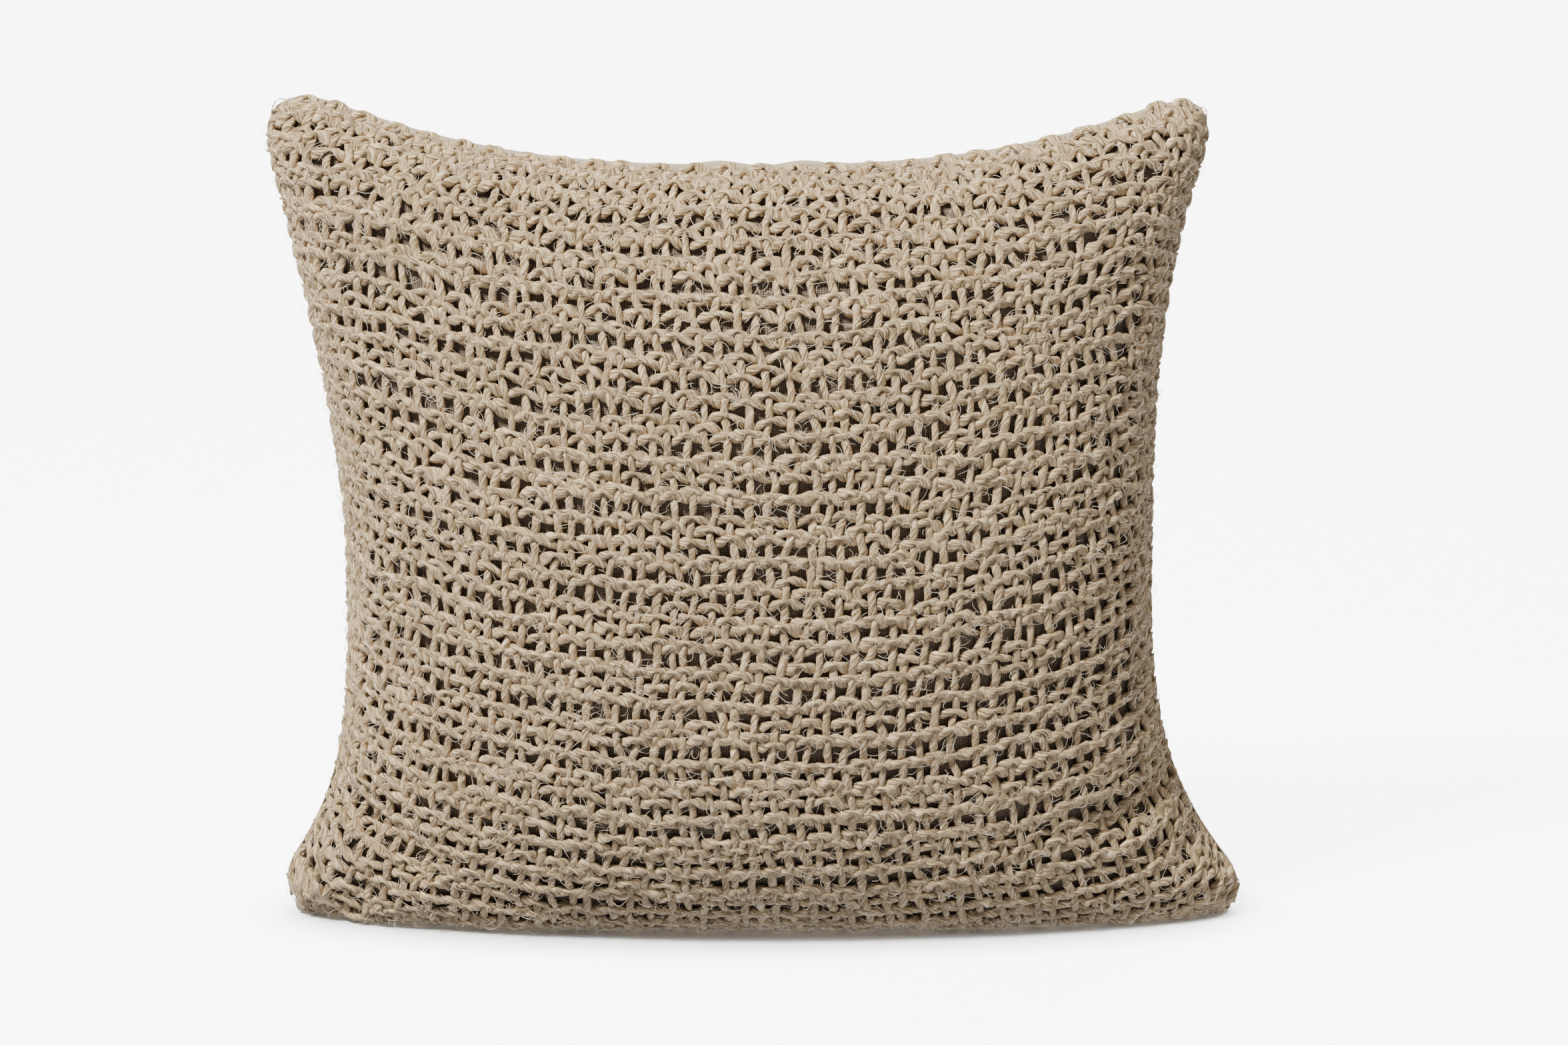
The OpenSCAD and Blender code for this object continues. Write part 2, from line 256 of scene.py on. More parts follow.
def plumped(front, back, most_move=0.005, frames=20):
    slim = np.array([1, 0.94, 1])
    start = np.concatenate([(front * slim).reshape(-1, 3), (back[:, ::-1] * slim).reshape(-1, 3)])
    piece = grid_object("cloth_trial", [front * slim, back[:, ::-1] * slim])
    edge = (abs(np.sin(across)) > 0.999) | (abs(np.sin(up)) > 0.999)
    held = near_zip(back[..., 0] / MM, back[..., 2] / MM)[:, ::-1]
    pins = np.concatenate([edge.ravel(), (edge | (held > 0)).ravel()])
    group = piece.vertex_groups.new(name="seam")
    group.add([int(k) for k in np.flatnonzero(pins)], 1, "REPLACE")
    cloth = piece.modifiers.new("cloth", "CLOTH")
    cloth.settings.vertex_group_mass = "seam"
    cloth.settings.quality = 6
    cloth.settings.mass = 0.3
    cloth.settings.tension_stiffness = 15
    cloth.settings.compression_stiffness = 15
    cloth.settings.shear_stiffness = 5
    cloth.settings.bending_stiffness = 0.05
    cloth.settings.use_pressure = True
    cloth.settings.uniform_pressure_force = 4
    cloth.settings.effector_weights.gravity = 0
    cloth.collision_settings.use_collision = False
    cloth.point_cache.frame_end = frames
    for number in range(1, frames + 1):
        bpy.context.scene.frame_set(number)
    solved = piece.evaluated_get(bpy.context.evaluated_depsgraph_get()).to_mesh()
    end = np.empty(len(solved.vertices) * 3)
    solved.vertices.foreach_get("co", end)
    move = end.reshape(-1, 3) - start
    bpy.data.objects.remove(piece)
    bpy.context.scene.frame_set(1)
    size = np.linalg.norm(move, axis=1, keepdims=True)
    print("cloth moved up to %.1f mm, typically %.1f mm" % (size.max() / MM, np.median(size) / MM))
    move *= np.minimum(1, most_move / np.maximum(size, 1e-9))
    half = len(move) // 2
    return ((start[:half] + move[:half]).reshape(front.shape),
            (start[half:] + move[half:]).reshape(back.shape)[:, ::-1])


pressed_front, pressed_back = plumped(front_form, back_form)
zip_share = near_zip(back_form[..., 0] / MM, back_form[..., 2] / MM)[..., None]
front_form = pressed_front
back_form = pressed_back * (1 - zip_share) + back_form * zip_share
print("thickest %.1f mm" % ((back_form[..., 1].max() - front_form[..., 1].min()) / MM))

# %% [markdown]
# Stuffing is never even, and a corner folds where the ear leaves the body of the pillow. Dents are
# soft grooves between two points of the square, pressed straight into the form. Short puckers run
# from the seam into the cloth, where the thread holds it back.

# %% Dents, puckers and slow unevenness
def slow_noise(seed, cells):
    """A smooth random drift over the square, from -1 to 1"""
    table = np.random.default_rng(seed).uniform(-1, 1, (cells + 2, cells + 2))

    def at(p, q):
        col, row = np.clip(p, 0, 1) * cells, np.clip(q, 0, 1) * cells
        c, r = np.minimum(col.astype(int), cells - 1), np.minimum(row.astype(int), cells - 1)
        fc, fr = ease(0, 1, col - c), ease(0, 1, row - r)
        low = table[r, c] * (1 - fc) + table[r, c + 1] * fc
        high = table[r + 1, c] * (1 - fc) + table[r + 1, c + 1] * fc
        return low * (1 - fr) + high * fr
    return at


def dent(u, v, start, end, depth, width):
    """Depth of a groove from start to end, both in the square from -1 to 1"""
    way = np.array(end) - np.array(start)
    along = ((u - start[0]) * way[0] + (v - start[1]) * way[1]) / (way @ way)
    held = np.clip(along, 0, 1)
    off = np.hypot(u - start[0] - held * way[0], v - start[1] - held * way[1])
    return depth * np.exp(-(off / width) ** 2) * (1 - 0.6 * held)


u_grid, v_grid = np.sin(across), np.sin(up)
puff = swell(across, up, 1)
lumps = slow_noise(3, 5)((u_grid + 1) / 2, (v_grid + 1) / 2)
folds = (dent(u_grid, v_grid, (-1, -0.60), (-0.72, -0.74), 5.0, 0.045)
         + dent(u_grid, v_grid, (-0.86, -0.98), (-0.80, -0.82), 1.6, 0.05)
         + dent(u_grid, v_grid, (1, -0.58), (0.80, -0.66), 3.6, 0.05)
         + dent(u_grid, v_grid, (1, -0.74), (0.86, -0.80), 1.6, 0.04)
         + dent(u_grid, v_grid, (-0.98, 0.70), (-0.78, 0.60), 1.2, 0.06)
         + dent(u_grid, v_grid, (0.98, 0.66), (0.80, 0.58), 1.2, 0.06))


def puckers(seed, depth=0.9, reach=0.10):
    """Short ripples that run from the seam into the cloth, uneven along it"""
    drift = slow_noise(seed, 7)((u_grid + 1) / 2, (v_grid + 1) / 2)
    ripple = np.zeros_like(u_grid)
    for along, off in ((u_grid, 1 - abs(v_grid)), (v_grid, 1 - abs(u_grid))):
        wave = np.sin(2 * np.pi * (6.5 * along + 1.1 * drift)) * (0.5 + 0.5 * drift)
        ripple += wave * np.exp(-off / reach) * ease(0, 0.05, off)
    return depth * ripple


front_form[..., 1] += (folds + 0.9 * lumps * puff + puckers(5)) * MM
front_form[..., 1] = np.minimum(front_form[..., 1], -seam_gap / 2 * MM)
back_form[..., 1] -= puckers(6, depth=1.3, reach=0.13) * MM
back_form[..., 1] = np.maximum(back_form[..., 1], seam_gap / 2 * MM)
print("deepest fold %.1f mm" % folds.max())

# %% [markdown]
# ## Reading the form like a piece of cloth
# Yarns lie at even steps along the cloth, not at even angles. So the form's arc length is measured
# along every row and column, and two tables turn a share of the cloth's width p and height q into a
# place on the grid. After that a yarn is only a line of p and q.

# %% From cloth to form
def read_grid(table, row, col):
    """Values between the grid's points"""
    r = np.clip(row.astype(int), 0, table.shape[0] - 2)
    c = np.clip(col.astype(int), 0, table.shape[1] - 2)
    fr, fc = row - r, col - c
    if table.ndim == 3:
        fr, fc = fr[..., None], fc[..., None]
    low = table[r, c] * (1 - fc) + table[r, c + 1] * fc
    high = table[r + 1, c] * (1 - fc) + table[r + 1, c + 1] * fc
    return low * (1 - fr) + high * fr


def even_steps(form, axis):
    """For each line of the grid, the index at which every share of its length lies"""
    lines = form if axis == 1 else form.swapaxes(0, 1)
    lengths = np.linalg.norm(np.diff(lines, axis=1), axis=2)
    shares = np.concatenate([np.zeros((len(lines), 1)), lengths.cumsum(1)], 1)
    shares /= shares[:, -1:]
    marks = np.linspace(0, 1, grid_cells + 1)
    return np.array([np.interp(marks, line, np.arange(len(line))) for line in shares])


def outward(form, sign):
    normal = np.cross(np.gradient(form, axis=1), np.gradient(form, axis=0)) * sign
    for _ in range(2):
        wide = np.pad(normal, ((1, 1), (1, 1), (0, 0)), "edge")
        normal = (wide[1:-1, 1:-1] * 2 + wide[:-2, 1:-1] + wide[2:, 1:-1]
                  + wide[1:-1, :-2] + wide[1:-1, 2:]) / 6
    return normal / np.maximum(np.linalg.norm(normal, axis=2, keepdims=True), 1e-12)


class Face:
    """One side of the cover: where a share p across and q up the cloth lies in space"""

    def __init__(self, form, sign):
        self.form, self.normal = form, outward(form, sign)
        self.col_of = even_steps(form, 1)
        self.row_of = even_steps(form, 0).T

    def place(self, p, q, depth=0.0):
        p, q = np.broadcast_arrays(np.clip(p, 0, 1), np.clip(q, 0, 1))
        row = q * grid_cells
        for _ in range(3):
            col = read_grid(self.col_of, row, p * grid_cells)
            row = read_grid(self.row_of, q * grid_cells, col)
        out = read_grid(self.normal, row, col)
        out /= np.maximum(np.linalg.norm(out, axis=-1, keepdims=True), 1e-12)
        deep = np.asarray(depth)[..., None] if np.ndim(depth) else depth
        return read_grid(self.form, row, col) - out * deep, out


front = Face(front_form, 1)
back = Face(back_form, -1)
print("front's middle faces", np.round(front.place(np.array(0.5), np.array(0.5))[1], 2))

# %% [markdown]
# ## Linen yarn as a finish
# A linen yarn is a bundle of long fibres with a twist. Its look comes from streaks that run round it
# at the twist's slant: pale dry fibres over darker ones. The same noise makes the bump, so the darkest
# streaks lie in its hollows as painted crevice shade, and the palest, brighter than linen is, lie on
# its crests as painted highlight. The pattern follows each yarn's own UV map, where U is the length
# along the yarn and V the way round it, both in millimetres. A slow pattern on Object coordinates
# lets patches of the panel differ a little, as bleached flax does.

# %% Node helpers
def new_finish(name, roughness, sheen=0.0, specular=0.3):
    finish = bpy.data.materials.new(name)
    finish.use_nodes = True
    shader = finish.node_tree.nodes["Principled BSDF"]
    shader.inputs["Roughness"].default_value = roughness
    shader.inputs["Specular IOR Level"].default_value = specular
    shader.inputs["Sheen Weight"].default_value = sheen
    shader.inputs["Sheen Roughness"].default_value = 0.5
    shader.inputs["Sheen Tint"].default_value = (1.0, 0.93, 0.83, 1)
    return finish, finish.node_tree, shader


def node(tree, kind, values=None, **settings):
    made = tree.nodes.new(kind)
    for key, value in settings.items():
        setattr(made, key, value)
    for key, value in (values or {}).items():
        if isinstance(value, bpy.types.NodeSocket):
            tree.links.new(value, made.inputs[key])
        else:
            made.inputs[key].default_value = value
    return made


def noise(tree, vector, scale, detail=3.0, roughness=0.6):
    values = {"Vector": vector, "Scale": scale, "Detail": detail, "Roughness": roughness}
    return node(tree, "ShaderNodeTexNoise", values).outputs["Fac"]


def ramp(tree, factor, *stops):
    made = node(tree, "ShaderNodeValToRGB", {"Fac": factor})
    points = made.color_ramp.elements
    while len(points) < len(stops):
        points.new(0.5)
    for point, (place, colour) in zip(points, stops):
        point.position = place
        point.color = (*colour, 1)
    return made.outputs["Color"]


def mixed(tree, factor, first, second, blend="MIX"):
    made = node(tree, "ShaderNodeMix", data_type="RGBA", blend_type=blend)
    for key, value in ((0, factor), (6, first), (7, second)):
        if isinstance(value, bpy.types.NodeSocket):
            tree.links.new(value, made.inputs[key])
        else:
            made.inputs[key].default_value = value if key == 0 else (*value, 1)
    return made.outputs[2]


def maths(tree, operation, first, second=0.0, third=0.0, clamp=False):
    values = dict(enumerate((first, second, third)))
    made = node(tree, "ShaderNodeMath", values, operation=operation, use_clamp=clamp)
    return made.outputs[0]


def bump(tree, shader, height, strength, depth):
    values = {"Height": height, "Strength": strength, "Distance": depth}
    tree.links.new(node(tree, "ShaderNodeBump", values).outputs["Normal"], shader.inputs["Normal"])


# %% Linen yarn
def linen_yarn(name, pale_fibre_highlight, mid_fibre, dark_fibre_crevice_shade, twist_deg=38):
    finish, tree, shader = new_finish(name, 0.86, sheen=0.12)
    along = node(tree, "ShaderNodeUVMap", uv_map="yarn").outputs["UV"]
    slanted = node(tree, "ShaderNodeMapping", {
        "Vector": along, "Rotation": (0, 0, math.radians(twist_deg))}).outputs["Vector"]
    drawn = node(tree, "ShaderNodeMapping", {
        "Vector": slanted, "Scale": (0.35, 3.2, 1)}).outputs["Vector"]
    fibres = noise(tree, drawn, 0.8, 4, 0.6)
    strands = noise(tree, drawn, 0.33, 2, 0.5)
    patch = noise(tree, node(tree, "ShaderNodeTexCoord").outputs["Object"], 38, 2)
    # Streak colour: fibre tone, with painted crevice shade in the bump's hollows and painted highlight
    # on its crests.
    streaks = ramp(tree, fibres, (0.38, dark_fibre_crevice_shade), (0.51, mid_fibre), (0.63, pale_fibre_highlight))
    tone = node(tree, "ShaderNodeAttribute", attribute_name="tone").outputs["Fac"]
    shade = maths(tree, "MULTIPLY_ADD", patch, 0.30, 0.82)
    shade = maths(tree, "MULTIPLY", shade, tone)
    grey = node(tree, "ShaderNodeCombineColor", {"Red": shade, "Green": shade, "Blue": shade})
    colour = mixed(tree, 1.0, streaks, grey.outputs["Color"], "MULTIPLY")
    tree.links.new(colour, shader.inputs["Base Color"])
    relief = maths(tree, "MULTIPLY_ADD", strands, 1.4, fibres)
    bump(tree, shader, relief, 1.0, 0.45 * MM)
    return finish


warp_finish = linen_yarn("natural_linen_warp", (0.88, 0.68, 0.395), (0.47, 0.325, 0.165),
                         (0.17, 0.105, 0.045))
weft_finish = linen_yarn("natural_linen_weft", (0.90, 0.70, 0.415), (0.48, 0.335, 0.17),
                         (0.18, 0.11, 0.05), 30)

# %% [markdown]
# ## The open weave
# The net is a plain weave: each warp, which runs up, passes over one weft and under the next. The
# wefts bunch in twos and threes, and between two bunches a row of windows opens. Every yarn is a
# tube that follows the form. Where it crosses another it is pressed thin, and between crossings it
# swells. First come the lines of the yarns over the cloth, as shares p across and q up.

# %% Lines of warp and weft
cloth_size = 203
warps, wefts = 55, 77
warp_pitch, weft_pitch = 1 / warps, 1 / wefts
draw = np.random.default_rng(11)
warp_home = (np.arange(warps) + 0.5) * warp_pitch + draw.normal(0, 0.07, warps) * warp_pitch
weft_home = (np.arange(wefts) + 0.5) * weft_pitch + draw.normal(0, 0.06, wefts) * weft_pitch
lean, sway = slow_noise(21, 3), slow_noise(22, 9)
bunching, wander = slow_noise(23, 5), slow_noise(24, 13)
own_warp, own_weft = slow_noise(25, 40), slow_noise(26, 40)


def warp_line(number, q):
    """Where a warp lies across the cloth at height q"""
    home = warp_home[number]
    drift = 0.9 * lean(home, q) + 0.40 * sway(home, q) + 0.28 * own_warp((number * 0.37) % 1, q)
    edge = np.minimum(1, 12 * np.minimum(home, 1 - home))
    return home + warp_pitch * drift * edge


def weft_line(number, p):
    """Where a weft lies up the cloth at p across; neighbours bunch in twos and threes"""
    home = weft_home[number]
    rhythm = 2 * np.pi * (number / 2.6 + 0.75 * bunching(p, home))
    drift = 0.44 * np.sin(rhythm) + 0.42 * wander(p, home) + 0.27 * own_weft(p, (number * 0.37) % 1)
    edge = np.minimum(1, 12 * np.minimum(home, 1 - home))
    return home + weft_pitch * drift * edge


warp_at = np.array([[float(warp_line(w, weft_home[k])) for w in range(warps)] for k in range(wefts)])
weft_at = np.array([[float(weft_line(k, warp_home[w])) for k in range(wefts)] for w in range(warps)])
weft_at = np.maximum.accumulate(weft_at, axis=1)
print("%d warps %.1f mm apart, %d wefts %.1f mm apart" % (
    warps, warp_pitch * cloth_size, wefts, weft_pitch * cloth_size))

# %% [markdown]
# A tube is a grid rolled up: one side of the grid runs along the yarn and the other goes round it.
# All tubes of one group are rolled in a single mesh, their long seams and their pointed ends are
# merged, and the seam lies on the side that faces the lining.

# %% Rolling grids into yarns
def above_floor(points, soft=0.8):
    """Presses whatever hangs lower than soft millimetres flat towards the floor, never through it"""
    z = points[..., 2] / MM
    points[..., 2] = np.where(z < soft, soft * np.exp(np.minimum(z / soft - 1, 0)), z) * MM


def rolled(name, centre, side, out, radius, tone, sides, finish, flat=1.0, lobes=3, lobe_depth=0.0,
           twist_length=5.5, rough=0.0):
    """Yarns from arrays (yarn, ring, xyz); radius is (yarn, ring), in millimetres"""
    count, rings = radius.shape
    turn = np.linspace(0, 2 * np.pi, sides + 1) - np.pi / 2
    run = np.zeros((count, rings))
    run[:, 1:] = np.linalg.norm(np.diff(centre, axis=1), axis=2).cumsum(1) / MM
    start = draw.uniform(0, 2 * np.pi, (count, 1))
    spin = lobes * turn[None, None] - (2 * np.pi * run / twist_length + start)[..., None] * lobes / 3
    lobe = 1 + lobe_depth * np.cos(spin) + draw.normal(0, rough, spin.shape)
    lobe[..., -1] = lobe[..., 0]
    reach = (radius[..., None] * lobe * MM)[..., None]
    flatness = np.broadcast_to(np.asarray(flat, float), radius.shape)[..., None, None]
    ring = np.cos(turn)[:, None] * side[:, :, None] + np.sin(turn)[:, None] * out[:, :, None] * flatness
    points = (centre[:, :, None] + ring * reach).transpose(0, 2, 1, 3)
    points[:, -1] = points[:, 0]
    above_floor(points)
    mesh = bpy.data.meshes.new(name)
    work = bmesh.new()
    for _ in range(count):
        bmesh.ops.create_grid(work, x_segments=rings - 1, y_segments=sides, size=1)
    work.to_mesh(mesh)
    work.free()
    mesh.vertices.foreach_set("co", points.ravel())
    corner = np.empty(len(mesh.loops), int)
    mesh.loops.foreach_get("vertex_index", corner)
    along = np.broadcast_to((run + 37.0 * np.arange(count)[:, None])[:, None], points.shape[:3])
    round_it = np.broadcast_to((turn * 0.8)[None, :, None], points.shape[:3])
    uv = np.stack([along.ravel(), round_it.ravel()], 1)
    mesh.uv_layers.new(name="yarn").data.foreach_set("uv", uv[corner].ravel())
    shade = mesh.attributes.new("tone", "FLOAT", "POINT")
    shade.data.foreach_set("value", np.broadcast_to(tone[:, None, :], points.shape[:3]).ravel())
    work = bmesh.new()
    work.from_mesh(mesh)
    bmesh.ops.remove_doubles(work, verts=work.verts, dist=1e-7)
    work.to_mesh(mesh)
    work.free()
    mesh.polygons.foreach_set("use_smooth", np.ones(len(mesh.polygons), bool))
    mesh.materials.append(finish)
    piece = bpy.data.objects.new(name, mesh)
    bpy.context.scene.collection.objects.link(piece)
    print("%s: %d yarns, %d triangles" % (name, count, 2 * len(mesh.polygons)))
    return piece


def frames_along(centre, out):
    """The direction across each yarn, and its outward direction made square to the yarn"""
    way = np.gradient(centre, axis=1)
    way /= np.maximum(np.linalg.norm(way, axis=2, keepdims=True), 1e-12)
    side = np.cross(way, out)
    side /= np.maximum(np.linalg.norm(side, axis=2, keepdims=True), 1e-12)
    return side, np.cross(side, way)


def slubs(count, rings, lumps, amount):
    """Thick and thin places: random values at lumps points along each yarn, joined smoothly"""
    marks = draw.normal(0, 1, (count, lumps))
    at = np.linspace(0, lumps - 1, rings)
    return 1 + amount * np.array([np.interp(at, np.arange(lumps), row) for row in marks])


# %% [markdown]
# The warps are the stronger yarns, so they stay nearly straight and the wefts bend round them. The
# heights of both are waves that are locked to the crossings, so no yarn runs through another.

# %% Warp yarns
weave_middle = 1.42
warp_rise, weft_rise = 0.38, 0.70
warp_radius, weft_radius, weft_pressed = 0.84, 1.05, 0.46
weft_zigzag = 0.32
seam_wrap, wrap_reach = 1.05, 0.022
ends = 0.003


def weave_depth(p, q):
    """How deep the weave's middle lies; at the seam it comes up and wraps the edge"""
    to_seam = np.minimum(np.minimum(p, 1 - p), np.minimum(q, 1 - q))
    return weave_middle - seam_wrap * (1 - ease(0.0, wrap_reach, to_seam))


def taper(rings, length=5):
    """Falls to nothing over the last rings, so that the end closes in a point"""
    step = np.arange(rings)
    return np.sqrt(np.clip(np.minimum(step, rings - 1 - step) / length, 0, 1))


def warp_yarns(name, numbers, rings=400, sides=12):
    q = np.linspace(ends, 1 - ends, rings)
    centres, outs, radii, flats = [], [], [], []
    for number in numbers:
        phase = np.interp(q, weft_at[number], np.arange(wefts))
        over = np.cos(np.pi * phase) * (-1) ** number
        crossing = np.cos(np.pi * phase) ** 2
        p = warp_line(number, q)
        place, out = front.place(p, q, (weave_depth(p, q) - warp_rise * over) * MM)
        centres.append(place)
        outs.append(out)
        radii.append(warp_radius * (1 - 0.14 * crossing) * taper(rings))
        flats.append(1 - 0.12 * crossing)
    centre, out = np.array(centres), np.array(outs)
    side, out = frames_along(centre, out)
    thick = draw.uniform(0.88, 1.12, (len(numbers), 1))
    tone = draw.uniform(0.90, 1.06, (len(numbers), 1)) * slubs(len(numbers), rings, 14, 0.05)
    radius = np.array(radii) * slubs(len(numbers), rings, 60, 0.07) * thick
    return rolled(name, centre, side, out, radius, tone, sides, warp_finish, np.array(flats),
                  twist_length=5.0, lobe_depth=0.10, rough=0.05)


def shared_out(total, groups):
    """The numbers from 0 up to total, in even runs"""
    return [list(range(total * k // groups, total * (k + 1) // groups)) for k in range(groups)]


cover_pieces = [warp_yarns("warp_yarns_%d" % (k + 1), run)
                for k, run in enumerate(shared_out(warps, 3))]


# %% Weft yarns
def weft_yarns(name, numbers, rings=420, sides=10):
    p = np.linspace(ends, 1 - ends, rings)
    centres, outs, radii, flats = [], [], [], []
    for number in numbers:
        phase = np.interp(p, warp_at[number], np.arange(warps))
        over = -np.cos(np.pi * phase) * (-1) ** number
        crossing = np.cos(np.pi * phase) ** 2
        q = weft_line(number, p) + weft_zigzag * weft_pitch * over
        place, out = front.place(p, q, (weave_depth(p, q) - weft_rise * over) * MM)
        centres.append(place)
        outs.append(out)
        radii.append((weft_radius + (weft_pressed - weft_radius) * crossing ** 1.6) * taper(rings))
        flats.append(1 - 0.15 * (1 - crossing))
    centre, out = np.array(centres), np.array(outs)
    side, out = frames_along(centre, out)
    thick = draw.uniform(0.84, 1.12, (len(numbers), 1))
    tone = draw.uniform(0.92, 1.08, (len(numbers), 1)) * slubs(len(numbers), rings, 14, 0.06)
    radius = np.array(radii) * slubs(len(numbers), rings, 90, 0.13) * thick
    return rolled(name, centre, side, out, radius, tone, sides, weft_finish, np.array(flats),
                  twist_length=4.6, lobes=2, lobe_depth=0.20, rough=0.06)


cover_pieces += [weft_yarns("weft_yarns_%d" % (k + 1), run)
                 for k, run in enumerate(shared_out(wefts, 4))]

# %% [markdown]
# Linen sheds. Loose fibres stand off every yarn, pale against the dark windows, and they give the
# outline its slight fuzz. Each is a thin three-sided tube along an arc that starts in the weave,
# rises a little and curls back. They are short and many, so each has only a few dozen faces.

# %% Loose fibres
fibre_finish, fibre_tree, fibre_shader = new_finish("loose_linen_fibre", 0.6, sheen=0.2)
fibre_drift = noise(fibre_tree, node(fibre_tree, "ShaderNodeTexCoord").outputs["Object"], 300, 2)
fibre_colour = ramp(fibre_tree, fibre_drift, (0.3, (0.62, 0.48, 0.32)), (0.7, (0.94, 0.82, 0.63)))
fibre_tree.links.new(fibre_colour, fibre_shader.inputs["Base Color"])


def fibres(name, count, rings=9, sides=3):
    p0, q0 = draw.uniform(0.004, 0.996, (2, count, 1))
    length = draw.uniform(1.8, 6.5, (count, 1)) / cloth_size
    heading = draw.normal(0, 0.5, (count, 1)) + draw.choice([0, np.pi], (count, 1))
    curl = draw.normal(0, 2.2, (count, 1))
    step = np.linspace(0, 1, rings)
    bend = heading + curl * step
    p = p0 + length * np.cumsum(np.cos(bend), 1) / rings
    q = q0 + length * np.cumsum(np.sin(bend), 1) / rings
    rise = draw.uniform(0.2, 1.0, (count, 1)) ** 2 * 1.7
    depth = 0.55 - rise * np.sin(np.pi * step) ** 1.5 - 0.25 * rise * step
    centre, out = front.place(p, q, depth * MM)
    side, out = frames_along(centre, out)
    thin = draw.uniform(0.03, 0.065, (count, 1)) * (1 - 0.75 * step ** 3) * (step > 0)
    return rolled(name, centre, side, out, thin, np.ones((count, rings)), sides, fibre_finish)


cover_pieces += [fibres("loose_fibres_%d" % (k + 1), 3700) for k in range(2)]

# %% [markdown]
# ## The lining and the plain back
# The lining that shows in the windows and the back are a fine, even linen, about 20 threads to the
# centimetre. Threads that small are drawn in the material: two rows of waves on the cloth's own UV
# map, in millimetres, make warp and weft, and each thread varies along its length. Between the
# threads, where the waves dip, a darker gap colour is painted shade. The cloth itself is a real sheet
# with a thickness.

# %% Fine linen
def fine_linen(name, pale_thread, dark_thread, gap, pitch=0.5, sheen=0.15):
    finish, tree, shader = new_finish(name, 0.9, sheen=sheen)
    cloth = node(tree, "ShaderNodeUVMap", uv_map="cloth").outputs["UV"]
    wander = node(tree, "ShaderNodeTexNoise", {"Vector": cloth, "Scale": 0.35, "Detail": 2.0})
    bent = node(tree, "ShaderNodeVectorMath", {0: wander.outputs["Color"], 1: (0.35, 0.35, 0)},
                operation="MULTIPLY").outputs[0]
    thread = node(tree, "ShaderNodeVectorMath", {0: cloth, 1: bent}, operation="ADD").outputs[0]
    axes = node(tree, "ShaderNodeSeparateXYZ", {"Vector": thread})
    waves = [maths(tree, "SINE", maths(tree, "MULTIPLY", axes.outputs[k], 2 * math.pi / pitch))
             for k in ("X", "Y")]
    ups = [maths(tree, "MULTIPLY_ADD", wave, 0.5, 0.5) for wave in waves]
    both = maths(tree, "MULTIPLY", *ups)
    either = maths(tree, "MAXIMUM", *ups)
    height = maths(tree, "MULTIPLY_ADD", both, 0.6, either)
    stretched = [node(tree, "ShaderNodeMapping", {"Vector": thread, "Scale": scale}).outputs["Vector"]
                 for scale in ((0.25, 1 / pitch, 1), (1 / pitch, 0.25, 1))]
    runs = [noise(tree, way, 1.0, 2) for way in stretched]
    slub = maths(tree, "ADD", *runs)
    body = ramp(tree, maths(tree, "MULTIPLY", slub, 0.5), (0.34, dark_thread), (0.66, pale_thread))
    # The gap colour fills the low places between the threads: painted shade.
    colour = mixed(tree, maths(tree, "MULTIPLY_ADD", either, 1.6, -0.75, clamp=True), gap, body)
    tree.links.new(colour, shader.inputs["Base Color"])
    bump(tree, shader, maths(tree, "MULTIPLY_ADD", slub, 0.8, height), 0.8, 0.10 * MM)
    return finish


# The lining's near-black gap colour is painted shade in the holes between its threads.
lining_finish = fine_linen("dark_fine_lining", (0.34, 0.255, 0.165), (0.17, 0.12, 0.075),
                           (0.04, 0.028, 0.018))
back_finish = fine_linen("plain_linen_back", (0.74, 0.595, 0.425), (0.50, 0.39, 0.265),
                         (0.38, 0.295, 0.20))
insert_finish = fine_linen("white_cotton_insert", (0.86, 0.84, 0.79), (0.76, 0.74, 0.69),
                           (0.5, 0.48, 0.44), pitch=0.4)


# %% Sheets from points
def cloth_sheet(name, points, thickness, finish, uv, smooth=True):
    """A sheet whose outer face is the grid of points, with a real thickness behind it"""
    points = points.copy()
    above_floor(points)
    piece = grid_object(name, [points])
    mesh = piece.data
    corner = np.empty(len(mesh.loops), int)
    mesh.loops.foreach_get("vertex_index", corner)
    mesh.uv_layers.new(name="cloth").data.foreach_set("uv", uv.reshape(-1, 2)[corner].ravel())
    mesh.polygons.foreach_set("use_smooth", np.full(len(mesh.polygons), smooth))
    mesh.materials.append(finish)
    wall = piece.modifiers.new("thickness", "SOLIDIFY")
    wall.thickness = thickness
    wall.offset = -1
    print("%s: %d faces" % (name, len(mesh.polygons)))
    return piece


def shares(columns, rows):
    """Even shares across and up, with extra steps near the seam"""
    fine = [(1 - np.cos(np.linspace(0, np.pi, n))) / 2 for n in (columns, rows)]
    return np.meshgrid(*[0.5 * f + 0.5 * np.linspace(0, 1, len(f)) for f in fine])


# %% [markdown]
# The lining hangs just behind the weave. Where it isn't pressed by the yarns it lies in small
# hollows, which a slow noise gives.

# %% Lining behind the weave
lining_p, lining_q = shares(121, 121)
hollows = slow_noise(31, 36)(lining_p, lining_q)
lining_depth = (2.95 + 0.22 * hollows) * MM
lining_points = front.place(lining_p, lining_q, lining_depth)[0]
lining = cloth_sheet("front_lining_cloth", lining_points, 0.22 * MM, lining_finish,
                     np.stack([lining_p, lining_q], -1) * cloth_size)

# %% [markdown]
# The back is in two parts with the zip between them. Each part's edge is turned in along the zip:
# the cloth runs down the inside, folds round the edge and goes on along the outside. At the seam
# the back's border turns in under the weave, and it stands a little proud in the middle of the top.

# %% Back panels with a turned-in edge
def slot_half(x):
    """Half of the gap at the zip, which closes past the zip's ends"""
    open_gap = zip_slot * math.cos(zip_tilt)
    return open_gap + (0.12 - open_gap) * ease(zip_half_l + 4, zip_half_l + 8, abs(x - middle_x))


